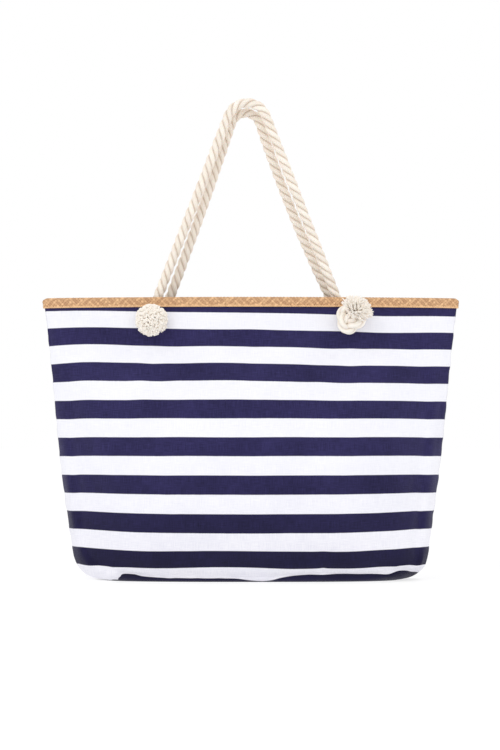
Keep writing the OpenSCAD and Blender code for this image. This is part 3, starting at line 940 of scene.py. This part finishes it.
def cloth_piece(name, outer, thick, marks, paint, slot_name):
    """A closed cloth from its outer face, with the rope's holes cut in it."""
    out = unit(np.cross(np.gradient(outer, axis=0), np.gradient(outer, axis=1)))
    middle = (len(outer) // 3, outer.shape[1] // 2)
    if out[middle][1] * outer[middle][1] < 0:
        out = -out
    outer = outer.copy()
    keep = np.ones((outer.shape[0] - 1, outer.shape[1] - 1), bool)
    for flip in flips:
        axis = eyelet_out * flip
        to = outer - eyelet_at * flip
        flat = to - (to @ axis)[..., None] * axis
        far = np.linalg.norm(flat, axis=-1)
        inside = (far < hole_r) & (np.abs(to @ axis) < 12 * MM)
        keep &= ~(inside[:-1, :-1] & inside[1:, :-1] & inside[:-1, 1:] & inside[1:, 1:])
        outer[inside] += (unit(flat) * (hole_r - far)[..., None])[inside]
    inner = outer - out * thick
    inner[..., 2] = np.maximum(inner[..., 2], outer[..., 2].min())
    row_count, column_count = outer.shape[:2]
    count = row_count * column_count
    quads = np.array(grid_faces(row_count, column_count))[keep.ravel()]
    faces = quads.tolist() + (quads[:, ::-1] + count).tolist()
    sides = [pair for a, b, c, d in quads.tolist() for pair in ((a, b), (b, c), (c, d), (d, a))]
    shared = set(sides)
    faces += [[b, a, a + count, b + count] for a, b in sides if (b, a) not in shared]
    used = np.unique(np.array(faces).ravel())
    order = np.full(2 * count, -1)
    order[used] = np.arange(len(used))
    points = np.concatenate([outer.reshape(-1, 3), inner.reshape(-1, 3)])[used]
    all_marks = np.concatenate([marks.reshape(-1, 3)] * 2)[used]
    shape = Shape()
    shape.add(points, order[np.array(faces)].tolist(), all_marks)
    piece = shape.piece(name, paint, slot_name)
    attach(piece, "bag")
    return piece


def make_cloths():
    start = shell()
    formed = shaped(start)
    formed = settled(formed)
    past_seam = ease(np.abs(np.cos(turns)) / 0.15)[None, :, None]
    lining = shell(lining_in, canvas_t + side_room(row_z), lining_floor) + (formed - start) * past_seam
    cloths = (
        ("canvas_", formed, canvas_t, canvas_paint, "striped_canvas", "stretched", 0, 0, 0.93),
        ("lining_", lining, lining_t, lining_paint, "lining_cotton", "hung", 20 * MM, 4 * MM, 0.92),
    )
    for panel, sign in (("front", -1), ("back", 1)):
        down = half_of(down_marks(start), panel)
        for kind, grid, thick, paint, slot_name, held, less_width, less_length, filled in cloths:
            face = half_of(grid, panel).copy()
            face[..., 1] = sign * np.maximum(0, sign * face[..., 1]) + sign * seam_gap
            worn = ease(1 - face[..., 2] / (6 * MM)) * 0.5
            marks = refined(np.stack([across_marks(face), down, worn], axis=-1))
            cloth = cloth_piece(kind + panel + "_cloth", refined(face), thick, marks, paint, slot_name)
            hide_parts(kind + panel)


make_cloths()

# ---- plaited straw band round the rim ----
straws = 11
straw_w, straw_t = 2.95 * MM, 1.1 * MM
weave_h, straw_step = 0.8 * MM, 1.7 * MM
out_off = fit_gap + band_t / 2
in_off = -(stack_t + fit_gap + band_t / 2)
fold_r = (out_off - in_off) / 2
outer_leg = band_h - band_t / 2 - fold_r
inner_leg = band_in_h - band_t / 2 - fold_r
fold_l = math.pi * fold_r
band_w = outer_leg + fold_l + inner_leg
end_drop, end_round = 2.6 * MM, 6 * MM


def band_profile(t):
    """How far out of the canvas and how high the band's middle layer is, t across from its outer edge."""
    top = bag_h - band_t / 2 - fold_r
    turn = np.clip((t - outer_leg) / fold_l, 0, 1) * math.pi
    out = (out_off + in_off) / 2 + fold_r * np.cos(turn)
    z = top + fold_r * np.sin(turn)
    z = z - np.maximum(0, outer_leg - t) - np.maximum(0, t - outer_leg - fold_l)
    return out, z


rim_turns = np.linspace(0, FULL, 2401)
rim_along = lengths(skin(rim_turns, bag_h - band_h / 2))
rim_l = rim_along[-1]


def band_point(s, t):
    """Point of the band's middle layer, s round the rim and t across the band."""
    angle = np.interp(np.mod(s, rim_l), rim_along, rim_turns)
    out, z = band_profile(t)
    inward = np.clip((out_off - out) / (out_off - in_off), 0, 1)
    points = skin(angle, z, -out, -out + side_room(z) * ease(inward))
    from_end = rim_w / 2 + out_off - np.abs(points[..., 0])
    high = np.clip((z - bag_h + band_h) / band_h, 0, 1)
    points[..., 2] -= end_drop * high * (1 - ease(from_end / end_round))
    return points


def band_normal(s, t):
    small = 0.4 * MM
    across = band_point(s, np.minimum(t + small, band_w)) - band_point(s, np.maximum(t - small, 0))
    along = band_point(s + small, t) - band_point(s - small, t)
    return unit(np.cross(along, across))


half_period = rim_l / (2 * round(rim_l / (2 * band_w)))
straw_pitch = 2 * half_period / straws


def straw_line(number):
    """One straw goes from edge to edge of the band all round the rim, over and under the others."""
    count = int(rim_l * math.hypot(band_w, half_period) / half_period / straw_step)
    s = number * straw_pitch + np.arange(count) * rim_l / count
    step = (s - number * straw_pitch) / half_period
    rising = np.mod(step, 2) < 1
    t = band_w * np.where(rising, np.mod(step, 2), 2 - np.mod(step, 2))
    up_index = (s - half_period * t / band_w) / straw_pitch
    down_index = (s + half_period * t / band_w) / straw_pitch
    swing = np.cos(math.pi * (up_index - down_index))
    height = weave_h * np.where(rising, swing, -swing)
    height = (np.roll(height, 1) + 2 * height + np.roll(height, -1)) / 4
    return s, t, height


def add_straw(shape, number, tone):
    s, t, height = straw_line(number)
    inner_t = np.clip(t, straw_w / 2, band_w - straw_w / 2)
    normal = band_normal(s, inner_t)
    line = band_point(s, inner_t) + normal * height[:, None]
    way = unit(np.roll(line, -1, axis=0) - np.roll(line, 1, axis=0))
    side = unit(np.cross(normal, way))
    sides = 8
    turn = np.arange(sides) * FULL / sides
    wide = signed_pow(np.cos(turn), 0.7) * straw_w / 2
    tall = signed_pow(np.sin(turn), 0.7) * straw_t / 2
    points = line[:, None] + side[:, None] * wide[None, :, None] + normal[:, None] * tall[None, :, None]
    marks = np.empty(points.shape)
    marks[..., 0] = lengths(line)[:, None]
    marks[..., 1] = wide[None, :]
    # Painted light and shade: a straw is lighter where it rises over the others and darker where it dips
    # under them, on top of its own tone.
    marks[..., 2] = (tone + 0.5 * height / weave_h)[:, None]
    count = len(line)
    faces = np.array(grid_faces(count + 1, sides, wrap=True)) % (count * sides)
    shape.add(points, faces.tolist(), marks)


def add_core(shape):
    """A thin layer under the straws, so that no light shows between them; its colour is painted shade for
    the gaps.
    """
    s = np.linspace(0, rim_l, 481)[:-1]
    t = np.linspace(0.6 * MM, band_w - 0.6 * MM, 16)
    ss, tt = np.meshgrid(s, t, indexing="ij")
    middle = band_point(ss, tt)
    normal = band_normal(ss, tt)
    layer = 0.3 * MM
    rings = np.concatenate([middle + normal * layer, (middle - normal * layer)[:, ::-1]], axis=1)
    faces = np.array(grid_faces(len(s) + 1, rings.shape[1], wrap=True)) % (len(s) * rings.shape[1])
    marks = np.zeros(rings.shape)
    marks[..., 0] = s[:, None]
    # Painted shade: the core takes the darkest straw colour, as the shade in the gaps between straws.
    marks[..., 2] = -1
    shape.add(rings, faces.tolist(), marks)


bead_pitch = 3.1 * MM


def add_edge_beads(shape, t, noise):
    """The turned edge of the plait: a row of small loops."""
    count = int(rim_l / bead_pitch)
    ring = np.linspace(0, 1, 7)
    for i in range(count):
        s = rim_l * i / count + ring * bead_pitch * 1.05
        path = band_point(s, t) + band_normal(s, t) * 0.25 * MM
        path[:, 2] += 0.6 * MM * np.cos(math.pi * (ring - 0.5) * 2)
        thick = 1.3 * MM * np.sin(math.pi * np.clip(ring, 0.05, 0.95)) ** 0.5
        add_tube(shape, path, thick, 7, 0.8 + 0.2 * noise.uniform())


def make_plait():
    noise = np.random.default_rng(3)
    shape = Shape()
    for number in range(straws):
        add_straw(shape, number, noise.uniform(0.1, 0.9))
    add_core(shape)
    add_edge_beads(shape, 0.2 * MM, noise)
    add_edge_beads(shape, band_w - 0.2 * MM, noise)
    plait = shape.piece("plaited_rim", straw_paint, "straw_plait")
    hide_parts("rim_plait")
    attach(plait, "bag")


make_plait()


# ---- pocket cloth with a folded hem and stitches ----
def lining_face(x, z, inset):
    """Point over the back lining at x and z; inset counts from the canvas's outer face."""
    angle = np.arcsin(np.clip(x / (half_width(z) - side_room(z) - canvas_t), -1, 1)) + math.pi
    points = skin(angle, z, inset, side_room(z) + canvas_t)
    points[..., 0] = x
    return points


def add_stitches(shape, path, pitch, thick, seed):
    """Short threads along a path with gaps between them."""
    noise = np.random.default_rng(seed)
    width = thick * np.array([0.5, 1, 1.05, 1, 0.5])
    for i in range(int(lengths(path)[-1] / pitch)):
        at = (i + np.linspace(0.15, 0.85, len(width))) * pitch
        add_tube(shape, on_path(path, at), width, 6, noise.uniform(0, 1))


hem = 9 * MM
stitch_pitch, thread_r = 3 * MM, 0.28 * MM


def make_pocket():
    pocket_half = pocket_high.x
    x = np.linspace(-pocket_half, pocket_half, 90)
    z = np.linspace(pocket_high.z, pocket_low.z, 70)
    xx, zz = np.meshgrid(x, z)
    inset = stack_t + 0.45 * MM + lining_t
    edge = np.minimum(pocket_half - np.abs(xx), zz - z[-1])
    puff = 0.5 * MM * ease(edge / (20 * MM)) * (1 + 0.5 * np.sin(xx * 90 + zz * 25) * np.sin(zz * 70))
    fold = 0.35 * MM * ease((hem - edge) / (1.2 * MM))
    face = lining_face(xx, zz, inset + puff + fold)
    marks = np.stack([xx, zz, 0 * xx], axis=-1)
    patch = cloth_piece("pocket_cloth", face, lining_t, marks, lining_paint, "lining_cotton")
    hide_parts("pocket_patch")
    seam = np.array([[-1, 1], [-1, 0], [1, 0], [1, 1]]) * [pocket_half - hem / 2, 1]
    seam[:, 1] = blend(z[-1] + hem / 2, z[0] - 1 * MM, seam[:, 1])
    top = np.array([[-1, 0], [1, 0]]) * (pocket_half - hem) + [0, z[0] - hem]
    shape = Shape()
    for seed, corners in enumerate((seam, top)):
        line = resample(np.insert(corners, 1, 0.0, axis=1), 1 * MM)
        on_cloth = lining_face(line[:, 0], line[:, 2], inset + lining_t + 0.9 * MM)
        add_stitches(shape, on_cloth, stitch_pitch, thread_r, seed)
    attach(shape.piece("pocket_stitches", thread_paint, "lining_cotton"), "bag")


def make_zip_tape():
    """Cloth tape with ribs along both edges, where it is sewn to the pocket's mouth."""
    corners = np.array([corner.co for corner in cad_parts["zip_tape"].data.vertices])
    ends = np.split(corners[np.argsort(corners[:, 2])], 2)
    back_low, back_high = (end[np.argmax(end[:, 1])] for end in ends)
    front_low, front_high = (end[np.argmin(end[:, 1])] for end in ends)
    across = np.linspace(1, 0, 33)
    x = np.linspace(-zip_half, zip_half, 121)
    face = np.empty((len(across), len(x), 3))
    face[...] = blend(back_low, back_high, across[:, None])[:, None]
    face[..., 0] = x
    ribs = np.abs(np.sin(across * math.pi * 8)) * ease((np.abs(across - 0.5) - 0.16) / 0.04)
    face[..., 1] -= (0.12 * MM * ribs)[:, None]
    tape_t = float(np.linalg.norm(back_low - front_low))
    marks = np.stack(np.broadcast_arrays(x[None, :], -face[..., 2], 0.0), axis=-1)
    tape = cloth_piece("zip_tape_cloth", face, tape_t, marks, tape_paint, "zip_tape")
    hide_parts("zip_tape")
    shape = Shape()
    for seed, share in enumerate((0.08, 0.92)):
        at = blend(front_low, front_high, share) - [0, 0.25 * MM, 0]
        line = np.array([[-zip_half + 1 * MM, at[1], at[2]], [zip_half - 1 * MM, at[1], at[2]]])
        add_stitches(shape, resample(line, 1 * MM), stitch_pitch, thread_r, seed + 2)
    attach(shape.piece("zip_stitches", thread_paint, "zip_tape"), "bag")


make_pocket()
make_zip_tape()


# ---- carried-over CAD pieces ----
def dress(nodes, paint):
    for name in nodes:
        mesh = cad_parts[name].data
        mesh.materials.clear()
        mesh.materials.append(paint)


dress(["side_seam_left", "side_seam_right", "bottom_seam"], seam_paint)
dress(["eyelets", "eyelet_washers"], eyelet_paint)
dress(["snap_socket", "snap_stud"], snap_paint)
dress(["zip_teeth", "zip_stops", "zip_slider", "zip_pull"], zip_paint)
